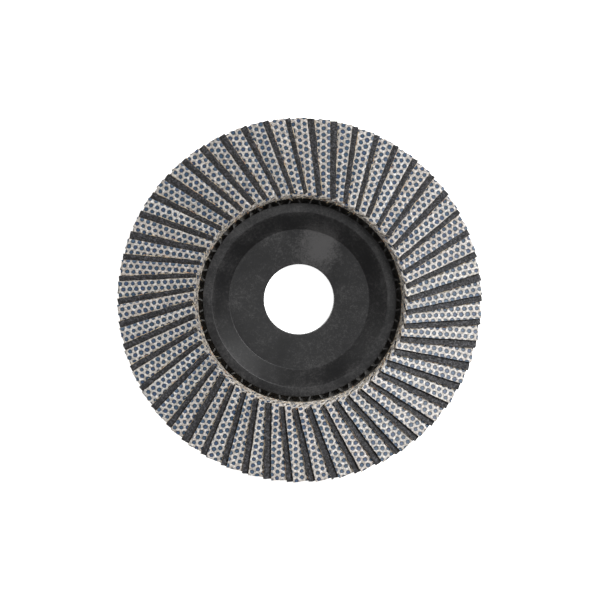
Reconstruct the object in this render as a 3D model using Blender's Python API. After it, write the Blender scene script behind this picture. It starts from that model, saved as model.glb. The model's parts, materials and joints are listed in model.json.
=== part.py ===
"""Flap disc for an angle grinder, 115 mm across with a 22.23 mm bore.

The disc lies with its abrasive face up.  Z is the axis that it spins about, and the
origin is on that axis, on the hub's flat back face.  A moulded plastic backing plate
carries a bed of adhesive and a ring of overlapping flaps of dotted abrasive cloth.
Under each flap lies a slightly wider black spacer, turned a little clockwise, so that its
edge shows as a dark strip.  The spacers stand in sets on roots of cured adhesive.
"""
import math

import bmesh
import bpy
from mathutils import Vector

MM = 0.001

# Overall sizes
DISC_DIAMETER = 115.0 * MM
BORE_DIAMETER = 22.23 * MM

# Backing plate
HUB_THICKNESS = 4.0 * MM
RECESS_DIAMETER = 44.4 * MM
WALL_RUN = 5.5 * MM
LIP_WIDTH = 2.85 * MM
LIP_HEIGHT = 3.0 * MM
HUB_SKIRT = 1.5 * MM
FLANGE_RISE = 2.8 * MM
FLANGE_THICKNESS = 2.6 * MM
FLAP_OVERHANG = 4.5 * MM
TRENCH_DEPTH = 1.0 * MM
RIM_WIDTH = 3.0 * MM
RIM_BEAD_HEIGHT = 0.4 * MM
EDGE_ROUND = 0.5 * MM
WALL_FILLET = 1.2 * MM
PLATE_SEGMENTS = 60
FILLET_STEPS = 2

# Zigzag keying ribs in the adhesive trench
RIB_PEAKS = 30
RIB_INSET = 2.55 * MM
RIB_LENGTH = 6.6 * MM
RIB_THICKNESS = 0.5 * MM
RIB_SINK = 0.3 * MM
CREST_DROP = 0.4 * MM
CREST_INSET = 0.9 * MM
CREST_TAPER = 0.1 * MM

# Flaps and spacers
FLAP_COUNT = 50
FLAP_WIDTH = 17.74 * MM
FLAP_THICKNESS = 0.85 * MM
SPACER_THICKNESS = 0.5 * MM
SPACER_LEAD = math.radians(1.15)
SPACER_EXTRA_WIDTH = 1.0 * MM
SPACER_SETBACK = 0.3 * MM
ADHESIVE_GAP = 1.5 * MM
FIRST_FLAP_ANGLE = math.radians(3.17)
LENGTH_STEPS = 3
WIDTH_STEPS = 3

# Roots of cured adhesive that hold the spacers in sets
SPACER_SETS = 8
ROOT_WIDTH = 2.0 * MM
ROOT_THICKNESS = 0.5 * MM
FOOT_WIDTH = 1.5 * MM
FOOT_INSET = 0.3 * MM
ROOT_OVERRUN = math.radians(0.8)

# Space left between neighbouring pieces
CLEARANCE = 0.3 * MM

# Derived sizes
DISC_RADIUS = DISC_DIAMETER / 2
BORE_RADIUS = BORE_DIAMETER / 2
RECESS_RADIUS = RECESS_DIAMETER / 2
LIP_INNER_RADIUS = RECESS_RADIUS + WALL_RUN
LIP_OUTER_RADIUS = LIP_INNER_RADIUS + LIP_WIDTH
PLATE_RADIUS = DISC_RADIUS - FLAP_OVERHANG
TRENCH_RADIUS = PLATE_RADIUS - RIM_WIDTH
FLANGE_TOP = FLANGE_RISE + FLANGE_THICKNESS
LIP_TOP = FLANGE_TOP + LIP_HEIGHT
TRENCH_FLOOR = FLANGE_TOP - TRENCH_DEPTH
HUB_BACK_RADIUS = RECESS_RADIUS + HUB_SKIRT
WALL_SLOPE = WALL_RUN / (LIP_TOP - HUB_THICKNESS)
SKIRT_TOP_RADIUS = HUB_BACK_RADIUS + FLANGE_RISE * WALL_SLOPE

FLAP_HALF_WIDTH = FLAP_WIDTH / 2
FLAP_ROOT = LIP_OUTER_RADIUS + ADHESIVE_GAP
SPACER_ROOT = FLAP_ROOT + SPACER_SETBACK
FLAP_PITCH = math.tau / FLAP_COUNT
LAYER_RISE = FLAP_THICKNESS + SPACER_THICKNESS + 2 * CLEARANCE
RISE_PER_RADIAN = LAYER_RISE / FLAP_PITCH
SPACER_DROP = SPACER_THICKNESS + CLEARANCE
FLAP_FLOOR = FLANGE_TOP + CLEARANCE + SPACER_DROP - RISE_PER_RADIAN * SPACER_LEAD

RIB_INNER_RADIUS = LIP_OUTER_RADIUS - RIB_INSET
RIB_OUTER_RADIUS = RIB_INNER_RADIUS + RIB_LENGTH
CREST_INNER_RADIUS = LIP_OUTER_RADIUS - CREST_INSET
CREST_OUTER_RADIUS = FLAP_ROOT - CLEARANCE
CREST_TOP = LIP_TOP - CREST_DROP
ROOT_OUTER_RADIUS = TRENCH_RADIUS - CLEARANCE
ROOT_INNER_RADIUS = ROOT_OUTER_RADIUS - ROOT_WIDTH
BED_RADIUS = ROOT_INNER_RADIUS - CLEARANCE


def clear_scene():
    for obj in list(bpy.data.objects):
        bpy.data.objects.remove(obj)


def make_material(name, colour, roughness):
    """A non-metallic finish in one linear colour."""
    material = bpy.data.materials.new(name)
    material.use_nodes = True
    shader = material.node_tree.nodes["Principled BSDF"]
    shader.inputs["Base Color"].default_value = (*colour, 1.0)
    shader.inputs["Roughness"].default_value = roughness
    shader.inputs["Metallic"].default_value = 0.0
    return material


def add_object(name, bm, material=None):
    bmesh.ops.recalc_face_normals(bm, faces=bm.faces)
    mesh = bpy.data.meshes.new(name)
    bm.to_mesh(mesh)
    bm.free()
    obj = bpy.data.objects.new(name, mesh)
    bpy.context.scene.collection.objects.link(obj)
    if material:
        mesh.materials.append(material)
    mesh.shade_smooth()
    mesh.set_sharp_from_angle(angle=math.radians(30))
    return obj


def as_helper(obj):
    """Mark a body that another one is joined with or cut by, and that isn't a piece itself."""
    obj.hide_render = True
    obj.display_type = 'WIRE'
    return obj


def combine(obj, helper, operation='UNION'):
    joint = obj.modifiers.new(operation.lower() + "_" + helper.name, 'BOOLEAN')
    joint.operation = operation
    joint.solver = 'EXACT'
    joint.object = as_helper(helper)


def polar(radius, angle):
    return radius * math.cos(angle), radius * math.sin(angle)


def rounded_outline(corners):
    """Outline in the plane of radius and height, from corners (radius, height, fillet)."""
    outline = []
    for index, (radius, height, fillet) in enumerate(corners):
        if not fillet:
            outline.append((radius, height))
            continue
        before = corners[index - 1]
        after = corners[(index + 1) % len(corners)]
        ends = []
        for other in (before, after):
            dx, dz = other[0] - radius, other[1] - height
            length = math.hypot(dx, dz)
            ends.append((radius + dx / length * fillet, height + dz / length * fillet))
        for step in range(FILLET_STEPS + 1):
            share = step / FILLET_STEPS
            weights = ((1 - share) ** 2, 2 * share * (1 - share), share ** 2)
            points = (ends[0], (radius, height), ends[1])
            outline.append(tuple(sum(w * p[axis] for w, p in zip(weights, points))
                                 for axis in (0, 1)))
    return outline


def plate_outline():
    """Half section of the backing plate, round its hub, wall, lip, trench and rim."""
    rim_bead_back = FLANGE_RISE - RIM_BEAD_HEIGHT
    return rounded_outline([
        (BORE_RADIUS, 0.0, 0.0),
        (BORE_RADIUS, HUB_THICKNESS, EDGE_ROUND),
        (RECESS_RADIUS, HUB_THICKNESS, WALL_FILLET),
        (LIP_INNER_RADIUS, LIP_TOP, EDGE_ROUND),
        (LIP_OUTER_RADIUS, LIP_TOP, EDGE_ROUND),
        (LIP_OUTER_RADIUS, TRENCH_FLOOR, 0.0),
        (TRENCH_RADIUS, TRENCH_FLOOR, 0.0),
        (TRENCH_RADIUS, FLANGE_TOP, 0.0),
        (PLATE_RADIUS, FLANGE_TOP, EDGE_ROUND),
        (PLATE_RADIUS, rim_bead_back, EDGE_ROUND),
        (TRENCH_RADIUS, rim_bead_back, 0.0),
        (TRENCH_RADIUS, FLANGE_RISE, 0.0),
        (SKIRT_TOP_RADIUS, FLANGE_RISE, WALL_FILLET),
        (HUB_BACK_RADIUS, 0.0, EDGE_ROUND),
    ])


def turned_body(outline):
    """Closed body of the outline spun once round Z."""
    bm = bmesh.new()
    verts = [bm.verts.new((radius, 0.0, height)) for radius, height in outline]
    edges = [bm.edges.new((a, b)) for a, b in zip(verts, verts[1:] + verts[:1])]
    bmesh.ops.spin(bm, geom=verts + edges, cent=(0, 0, 0), axis=(0, 0, 1),
                   angle=math.tau, steps=PLATE_SEGMENTS, use_merge=True)
    return bm


def zigzag_loop(shift):
    """Corners of the ribs' centre line, moved outwards by shift square to its legs."""
    half_step = math.pi / RIB_PEAKS
    middle = (RIB_INNER_RADIUS + RIB_OUTER_RADIUS) / 2
    slant = math.atan2(middle * half_step, RIB_OUTER_RADIUS - RIB_INNER_RADIUS)
    radial_shift = shift / math.sin(slant)
    radii = (RIB_INNER_RADIUS + radial_shift, RIB_OUTER_RADIUS + radial_shift)
    return [polar(radii[step % 2], (step + 0.5) * half_step) for step in range(2 * RIB_PEAKS)]


def circle_loop(radius, count):
    return [polar(radius, (step + 0.5) * math.tau / count) for step in range(count)]


def walled_ring(inner, outer, low, high):
    """Closed upright ring between two plan loops with as many points as each other."""
    bm = bmesh.new()
    loops = [[bm.verts.new((x, y, z)) for x, y in plan]
             for plan, z in ((inner, low), (outer, low), (outer, high), (inner, high))]
    for loop, following in zip(loops, loops[1:] + loops[:1]):
        for index in range(len(loop)):
            after = (index + 1) % len(loop)
            bm.faces.new((loop[index], loop[after], following[after], following[index]))
    return bm


def prism_between(bm, corners, low, high):
    """Closed prism on its plan corners."""
    bottom = [bm.verts.new((x, y, low)) for x, y in corners]
    top = [bm.verts.new((x, y, high)) for x, y in corners]
    bm.faces.new(bottom[::-1])
    bm.faces.new(top)
    for index in range(len(corners)):
        after = (index + 1) % len(corners)
        bm.faces.new((bottom[index], bottom[after], top[after], top[index]))


def rib_crests():
    """Upright blades on the ribs' legs, in the gap between the lip and the flaps."""
    bm = bmesh.new()
    half = RIB_THICKNESS / 2 - CREST_TAPER
    corners = [Vector(corner) for corner in zigzag_loop(0.0)]
    for index, corner in enumerate(corners):
        after = corners[(index + 1) % len(corners)]
        inner, outer = (corner, after) if index % 2 == 0 else (after, corner)
        leg = outer - inner
        ends = []
        for radius in (CREST_INNER_RADIUS, CREST_OUTER_RADIUS):
            share = (radius - RIB_INNER_RADIUS) / (RIB_OUTER_RADIUS - RIB_INNER_RADIUS)
            ends.append(inner + leg * share)
        side = leg.orthogonal().normalized() * half
        plan = (ends[0] - side, ends[1] - side, ends[1] + side, ends[0] + side)
        prism_between(bm, plan, FLANGE_TOP - RIB_SINK, CREST_TOP)
    return bm


def make_backing_plate(material):
    plate = add_object("backing_plate", turned_body(plate_outline()), material)
    half = RIB_THICKNESS / 2
    ribs = walled_ring(zigzag_loop(-half), zigzag_loop(half), TRENCH_FLOOR - RIB_SINK, FLANGE_TOP)
    combine(plate, add_object("keying_ribs", ribs))
    combine(plate, add_object("rib_crests", rib_crests()))


def make_adhesive_bed(material):
    """The bed lies outside the zigzag, and its points stop short of the lip."""
    inner = zigzag_loop(RIB_THICKNESS / 2 + CLEARANCE)
    outer = circle_loop(BED_RADIUS, len(inner))
    ring = walled_ring(inner, outer, TRENCH_FLOOR + CLEARANCE, FLANGE_TOP)
    bed = add_object("adhesive_bed", ring, material)
    lip = bmesh.new()
    prism_between(lip, circle_loop(LIP_OUTER_RADIUS + CLEARANCE, PLATE_SEGMENTS), 0.0, LIP_TOP)
    combine(bed, add_object("space_for_lip", lip), 'DIFFERENCE')


def stack_height(along, across):
    """Height of a flap's underside: it climbs with the angle back from its tucked edge."""
    radius = math.hypot(along, across)
    tucked_edge = math.asin(FLAP_HALF_WIDTH / radius)
    return FLAP_FLOOR + RISE_PER_RADIAN * (tucked_edge - math.atan2(across, along))


def spacer_height(along, across):
    """A spacer lies under its flap, and is turned clockwise from it by SPACER_LEAD."""
    return stack_height(along, across) + RISE_PER_RADIAN * SPACER_LEAD - SPACER_DROP


def add_leaf(bm, root, extra_width, thickness, height_at, turn):
    """One leaf on the stack: a rectangle in plan whose free corner is on the disc's edge."""
    free_edge = -FLAP_HALF_WIDTH - extra_width
    tip = math.sqrt(DISC_RADIUS ** 2 - free_edge ** 2)
    lengths = [root + (tip - root) * step / LENGTH_STEPS for step in range(LENGTH_STEPS + 1)]
    widths = [free_edge + (FLAP_HALF_WIDTH - free_edge) * step / WIDTH_STEPS
              for step in range(WIDTH_STEPS + 1)]
    cos_turn, sin_turn = math.cos(turn), math.sin(turn)
    layers = []
    for lift in (0.0, thickness):
        layers.append([[bm.verts.new((along * cos_turn - across * sin_turn,
                                      along * sin_turn + across * cos_turn,
                                      height_at(along, across) + lift))
                        for across in widths] for along in lengths])
    for layer in layers:
        for row, following in zip(layer, layer[1:]):
            for index in range(WIDTH_STEPS):
                bm.faces.new((row[index], row[index + 1], following[index + 1], following[index]))
    below, above = (leaf_border(layer) for layer in layers)
    for index in range(len(below)):
        after = (index + 1) % len(below)
        bm.faces.new((below[index], below[after], above[after], above[index]))


def leaf_border(layer):
    """The grid's outer points in order round it."""
    root_edge = layer[0]
    free_end = [row[-1] for row in layer[1:]]
    tip_edge = layer[-1][-2::-1]
    start_side = [row[0] for row in layer[-2:0:-1]]
    return root_edge + free_end + tip_edge + start_side


def flap_turn(index):
    """Direction of a flap's centre line; its free edge is clockwise from it."""
    return FIRST_FLAP_ANGLE + index * FLAP_PITCH


def make_flaps(material):
    for index in range(FLAP_COUNT):
        bm = bmesh.new()
        add_leaf(bm, FLAP_ROOT, 0.0, FLAP_THICKNESS, stack_height, flap_turn(index))
        add_object(f"flap_{index + 1:02d}", bm, material)


def foot_across():
    """Side positions of a foot, just inside its spacer's tucked edge."""
    outer = FLAP_HALF_WIDTH - FOOT_INSET
    return outer - FOOT_WIDTH, outer


def foot_along():
    """Lengthwise positions of a foot, inside the root arc's inner and outer walls."""
    sides = foot_across()
    outer = math.sqrt((ROOT_OUTER_RADIUS - FOOT_INSET) ** 2 - sides[1] ** 2)
    inner = math.sqrt((ROOT_INNER_RADIUS + FOOT_INSET) ** 2 - sides[0] ** 2)
    return inner, outer


def add_foot(bm, turn):
    """A foot rises from the root arc into its spacer."""
    sides, ends = foot_across(), foot_along()
    plan = [(ends[0], sides[0]), (ends[1], sides[0]), (ends[1], sides[1]), (ends[0], sides[1])]
    cos_turn, sin_turn = math.cos(turn), math.sin(turn)
    corners = [(along * cos_turn - across * sin_turn, along * sin_turn + across * cos_turn)
               for along, across in plan]
    low = TRENCH_FLOOR + CLEARANCE + ROOT_THICKNESS / 2
    high = spacer_height(ends[0], sides[1]) + SPACER_THICKNESS / 2
    prism_between(bm, corners, low, high)


def root_arc(first_turn, last_turn):
    """Arc of cured adhesive in the trench, from just before the first foot to past the last."""
    sides, ends = foot_across(), foot_along()
    start = first_turn + math.atan2(sides[0], ends[1]) - ROOT_OVERRUN
    stop = last_turn + math.atan2(sides[1], ends[0]) + ROOT_OVERRUN
    steps = max(2, round((stop - start) / FLAP_PITCH) * 2)
    low = TRENCH_FLOOR + CLEARANCE
    high = low + ROOT_THICKNESS
    bm = bmesh.new()
    sections = []
    for step in range(steps + 1):
        angle = start + (stop - start) * step / steps
        section = [(ROOT_INNER_RADIUS, low), (ROOT_OUTER_RADIUS, low),
                   (ROOT_OUTER_RADIUS, high), (ROOT_INNER_RADIUS, high)]
        sections.append([bm.verts.new((*polar(radius, angle), z)) for radius, z in section])
    for section, following in zip(sections, sections[1:]):
        for index in range(4):
            after = (index + 1) % 4
            bm.faces.new((section[index], section[after], following[after], following[index]))
    bm.faces.new(sections[0])
    bm.faces.new(sections[-1])
    return bm


def make_spacer_sets(material):
    """The black spacers in sets, each one body: leaves, their feet and the root arc."""
    starts = [round(number * FLAP_COUNT / SPACER_SETS) for number in range(SPACER_SETS + 1)]
    for number, (first, stop) in enumerate(zip(starts, starts[1:]), start=1):
        turns = [flap_turn(index) - SPACER_LEAD for index in range(first, stop)]
        spacers = add_object(f"spacer_set_{number}", root_arc(turns[0], turns[-1]), material)
        feet = bmesh.new()
        leaves = bmesh.new()
        for turn in turns:
            add_foot(feet, turn)
            add_leaf(leaves, SPACER_ROOT, SPACER_EXTRA_WIDTH, SPACER_THICKNESS, spacer_height, turn)
        combine(spacers, add_object(f"feet_{number}", feet))
        combine(spacers, add_object(f"leaves_{number}", leaves))


def build():
    clear_scene()
    plate_finish = make_material("moulded_plate", (0.028, 0.028, 0.030), 0.55)
    adhesive_finish = make_material("cured_adhesive", (0.012, 0.012, 0.013), 0.25)
    flap_finish = make_material("dotted_cloth", (0.50, 0.47, 0.43), 0.80)
    spacer_finish = make_material("spacer_cloth", (0.042, 0.042, 0.045), 0.85)
    make_backing_plate(plate_finish)
    make_adhesive_bed(adhesive_finish)
    make_flaps(flap_finish)
    make_spacer_sets(spacer_finish)


build()
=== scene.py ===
import json
import math

import bmesh
import bpy
import numpy as np
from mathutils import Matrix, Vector


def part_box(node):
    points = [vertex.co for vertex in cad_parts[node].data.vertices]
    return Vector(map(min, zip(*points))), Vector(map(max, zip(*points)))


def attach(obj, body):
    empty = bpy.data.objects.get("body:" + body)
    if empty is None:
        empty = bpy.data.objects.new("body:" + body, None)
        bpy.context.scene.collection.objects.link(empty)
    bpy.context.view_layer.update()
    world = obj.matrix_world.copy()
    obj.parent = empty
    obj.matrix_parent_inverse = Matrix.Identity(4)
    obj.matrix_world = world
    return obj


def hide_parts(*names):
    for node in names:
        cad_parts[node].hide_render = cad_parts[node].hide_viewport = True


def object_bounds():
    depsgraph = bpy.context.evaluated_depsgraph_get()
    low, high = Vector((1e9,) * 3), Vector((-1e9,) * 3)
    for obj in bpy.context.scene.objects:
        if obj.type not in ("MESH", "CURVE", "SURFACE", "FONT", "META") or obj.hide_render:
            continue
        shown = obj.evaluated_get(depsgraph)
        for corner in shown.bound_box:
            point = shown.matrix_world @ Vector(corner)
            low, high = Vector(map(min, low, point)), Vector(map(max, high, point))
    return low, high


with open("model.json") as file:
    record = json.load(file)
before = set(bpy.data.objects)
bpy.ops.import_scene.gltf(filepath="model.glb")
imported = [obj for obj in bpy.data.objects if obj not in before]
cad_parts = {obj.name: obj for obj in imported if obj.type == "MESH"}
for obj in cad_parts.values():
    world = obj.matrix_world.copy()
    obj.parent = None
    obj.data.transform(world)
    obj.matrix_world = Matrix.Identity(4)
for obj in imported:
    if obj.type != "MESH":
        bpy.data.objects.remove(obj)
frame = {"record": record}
cadLow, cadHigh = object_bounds()
mm = 0.001


# small helpers

def linear(hexColour):
    # sRGB hex to the linear values that shaders take
    channels = [int(hexColour[i:i + 2], 16) / 255 for i in (1, 3, 5)]
    return (*(c / 12.92 if c <= 0.04045 else ((c + 0.055) / 1.055) ** 2.4 for c in channels), 1.0)


def addNode(tree, kind, settings=None, inputs=None):
    # one shader node: its settings, then for each input a value or the (node, output) that feeds it
    node = tree.nodes.new("ShaderNode" + kind)
    for name, value in (settings or {}).items():
        setattr(node, name, value)
    for socket, source in (inputs or {}).items():
        if isinstance(source, tuple) and isinstance(source[0], bpy.types.Node):
            tree.links.new(source[0].outputs[source[1]], node.inputs[socket])
        else:
            node.inputs[socket].default_value = source
    return node


def setStops(ramp, stops):
    # stops are (position, hex colour)
    elements = ramp.color_ramp.elements
    while len(elements) < len(stops):
        elements.new(0.5)
    for element, (position, colour) in zip(elements, stops):
        element.position = position
        element.color = linear(colour)
    return ramp


def newMaterial(name, fixed):
    # a Principled material; fixed holds the sockets that are plain numbers
    material = bpy.data.materials.new(name)
    material.use_nodes = True
    shader = material.node_tree.nodes["Principled BSDF"]
    for socket, value in fixed.items():
        shader.inputs[socket].default_value = value
    return material, material.node_tree, shader


def objectPlace(tree):
    # where a point is on the disc, in millimetres
    place = addNode(tree, "TexCoord")
    return addNode(tree, "VectorMath", {"operation": "SCALE"}, {"Vector": (place, "Object"), "Scale": 1 / mm})


def addPiece(name, points, faces, materials, faceMaterials=None, maps=None, sharp=35):
    # maps: name -> one (x, y) per vertex
    mesh = bpy.data.meshes.new(name)
    mesh.from_pydata(np.asarray(points).tolist(), [], faces)
    for material in materials:
        mesh.materials.append(material)
    if faceMaterials is not None:
        mesh.polygons.foreach_set("material_index", np.asarray(faceMaterials, np.int32))
    corners = np.zeros(len(mesh.loops), np.int32)
    mesh.loops.foreach_get("vertex_index", corners)
    for mapName, values in (maps or {}).items():
        layer = mesh.uv_layers.new(name=mapName)
        layer.uv.foreach_set("vector", np.asarray(values, np.float32)[corners].ravel())
    work = bmesh.new()
    work.from_mesh(mesh)
    bmesh.ops.recalc_face_normals(work, faces=work.faces)
    work.to_mesh(mesh)
    work.free()
    mesh.shade_smooth()
    mesh.set_sharp_from_angle(angle=math.radians(sharp))
    mesh.validate()
    piece = bpy.data.objects.new(name, mesh)
    bpy.context.scene.collection.objects.link(piece)
    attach(piece, "root")
    return piece


def polar(radius, angle):
    return radius * np.cos(angle), radius * np.sin(angle)


def wander(rng, positions, spacing, amount):
    # a random line: a new offset every spacing, straight between them
    knots = np.arange(positions.min() - spacing, positions.max() + 2 * spacing, spacing)
    return np.interp(positions, knots, rng.normal(0, amount, len(knots)))


def smoothStep(edge0, edge1, value):
    share = np.clip((value - edge0) / (edge1 - edge0), 0, 1)
    return share * share * (3 - 2 * share)


# camera, straight down on the abrasive face, a little to its upper left

camera = {
    "lens": 180,
    "sensor": 36,
    "framed": 188.9 * mm,       # what the picture's side takes in, at the flaps' height
    "tilt": math.radians(3.5),
    "towards": math.radians(138),
    "aim": Vector((0.03 * mm, 0.03 * mm, 9 * mm)),
}


def makeCamera():
    data = bpy.data.cameras.new("camera")
    data.lens = camera["lens"]
    data.sensor_width = camera["sensor"]
    distance = camera["lens"] * camera["framed"] / camera["sensor"]
    data.clip_start = 0.01
    data.clip_end = 20
    piece = bpy.data.objects.new("camera", data)
    bpy.context.scene.collection.objects.link(piece)
    side = math.sin(camera["tilt"])
    back = Vector((side * math.cos(camera["towards"]), side * math.sin(camera["towards"]),
                   math.cos(camera["tilt"])))
    piece.location = camera["aim"] + back * distance
    # keeps the picture's top along +Y
    right = Vector((0, 1, 0)).cross(back).normalized()
    up = back.cross(right)
    matrix = piece.matrix_world.to_3x3()
    for row in range(3):
        matrix[row] = (right[row], up[row], back[row])
    piece.rotation_euler = matrix.to_euler()
    bpy.context.scene.camera = piece
    print("camera at", round(distance, 3), "m")


# light: a white tent, with a softbox at the upper right and two low reflectors

lights = {
    # elevation in degrees -> brightness of the tent there
    "tent": [(-90, 0.25), (0, 0.16), (15, 0.16), (28, 0.47), (55, 0.54), (75, 0.30), (90, 0.23)],
    "boxes": [
        # name, azimuth, elevation, distance, width, height, watts
        ("keySoftbox", 40, 50, 1.50, 0.66, 0.66, 31.0),
        ("leftFill", 155, 48, 1.50, 0.60, 0.60, 2.0),
        ("nearFill", 258, 48, 1.50, 0.60, 0.60, 2.0),
        ("lowRight", 38, 12, 0.80, 0.20, 0.10, 0.55),
        ("lowLeft", 148, 12, 0.80, 0.14, 0.10, 0.75),
    ],
}


def makeLights():
    world = bpy.data.worlds.new("whiteTent")
    world.use_nodes = True
    tree = world.node_tree
    background = tree.nodes["Background"]
    way = addNode(tree, "TexCoord")
    parts = addNode(tree, "SeparateXYZ", inputs={0: (way, "Generated")})
    level = addNode(tree, "Math", {"operation": "ARCSINE"}, {0: (parts, "Z")})
    curve = addNode(tree, "FloatCurve", inputs={"Value": (addNode(tree, "MapRange", inputs={
        "Value": (level, "Value"), "From Min": -math.pi / 2, "From Max": math.pi / 2}), "Result")})
    line = curve.mapping.curves[0]
    stops = [((elevation + 90) / 180, brightness) for elevation, brightness in lights["tent"]]
    line.points[0].location, line.points[1].location = stops[0], stops[-1]
    for stop in stops[1:-1]:
        line.points.new(*stop)
    curve.mapping.update()
    background.inputs["Color"].default_value = linear("#fdfdff")
    tree.links.new(curve.outputs["Value"], background.inputs["Strength"])
    bpy.context.scene.world = world
    for name, azimuth, elevation, distance, width, height, watts in lights["boxes"]:
        data = bpy.data.lights.new(name, "AREA")
        data.shape = "RECTANGLE"
        data.size = width
        data.size_y = height
        data.energy = watts
        lamp = bpy.data.objects.new(name, data)
        bpy.context.scene.collection.objects.link(lamp)
        x, y = polar(math.cos(math.radians(elevation)), math.radians(azimuth))
        direction = Vector((x, y, math.sin(math.radians(elevation))))
        lamp.location = direction * distance
        lamp.rotation_euler = direction.to_track_quat("Z", "Y").to_euler()
    print("lights", len(lights["boxes"]))


floor = {"size": 3.0, "glow": 0.85, "gap": 0.02 * mm}


def makeFloor():
    # Opal acrylic lit from below, as in a light table: white, and shadows on it stay faint
    material, tree, shader = newMaterial("opalAcrylicPanel", {"Roughness": 0.6, "Specular IOR Level": 0.2,
                                                              "Emission Strength": floor["glow"]})
    cloud = addNode(tree, "TexNoise", inputs={"Vector": (objectPlace(tree), "Vector"), "Scale": 0.02,
                                              "Detail": 2.0})
    tone = setStops(addNode(tree, "ValToRGB", inputs={"Fac": (cloud, "Fac")}),
                    [(0.3, "#f1f1f1"), (0.7, "#f8f8f7")])
    tree.links.new(tone.outputs["Color"], shader.inputs["Base Color"])
    tree.links.new(tone.outputs["Color"], shader.inputs["Emission Color"])
    half = floor["size"] / 2
    mesh = bpy.data.meshes.new("studioFloor")
    corners = [(-half, -half, 0), (half, -half, 0), (half, half, 0), (-half, half, 0)]
    mesh.from_pydata(corners, [], [(0, 1, 2, 3)])
    mesh.materials.append(material)
    piece = bpy.data.objects.new("studioFloor", mesh)
    bpy.context.scene.collection.objects.link(piece)
    piece.location.z = cadLow.z - floor["gap"]
    print("floor", floor["size"], "m")


# the flap stack, as the CAD lays it

stack = {
    "pairs": 50,
    "spacerSets": 8,                     # the CAD keeps the spacers in so many nodes
    "flapWidth": 17.74 * mm,
    "firstAngle": math.radians(3.17),    # direction of flap 1's centre line
    "spacerLead": math.radians(1.15),    # a spacer is turned this far clockwise of its flap
    "cadThickness": 0.85 * mm,           # a flap in the CAD; its top face is kept
    "spacerBelow": 1.15 * mm,            # from a flap's top face down to its spacer's
    "flapRoot": 32.05 * mm,
    "spacerRoot": 32.35 * mm,
    "jitter": math.radians(0.17),        # flaps laid by hand or feeder sit a little off their pitch
    "mostJitter": math.radians(0.34),
}
halfWidth = stack["flapWidth"] / 2
pitch = math.tau / stack["pairs"]
flapLow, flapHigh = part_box("flap_01")
discRadius = max(cadHigh.x, -cadLow.x, cadHigh.y, -cadLow.y)
leafTip = math.sqrt(discRadius ** 2 - halfWidth ** 2)
fullSpan = 2 * math.atan(halfWidth / stack["flapRoot"])
risePerRadian = (flapHigh.z - flapLow.z - stack["cadThickness"]) / fullSpan
topFloor = flapLow.z + stack["cadThickness"]


def flapTop(along, across):
    # height of a flap's top face: it climbs with the angle back from the tucked edge
    radius = np.hypot(along, across)
    back = np.arcsin(np.clip(halfWidth / radius, -1, 1)) - np.arctan2(across, along)
    return topFloor + risePerRadian * back


def offPitch(rng):
    # angle by which one leaf is laid off its pitch
    return float(np.clip(rng.normal(0, stack["jitter"]), -stack["mostJitter"], stack["mostJitter"]))


def spacerTop(along, across):
    return flapTop(along, across) + risePerRadian * stack["spacerLead"] - stack["spacerBelow"]


leafCut = {
    "freeReach": 1.0 * mm,      # how far the free edge's wave reaches into the leaf
    "endReach": 0.8 * mm,       # and that of the two cut ends
    "slowWave": 2.2 * mm,       # spacing of the free edge's slow waves, then of its quick ones
    "quickWave": 0.6 * mm,
    "rootWave": 1.3 * mm,
    "tipWave": 1.1 * mm,
    "fray": 0.45 * mm,          # spacing of the cloth's ragged points
    "warpLength": 9 * mm,
    "layerStep": 0.03 * mm,     # the cloth's edge starts this far below the coat
    "lowFray": 0.7,             # share of the raggedness left at the leaf's underside
}


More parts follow.
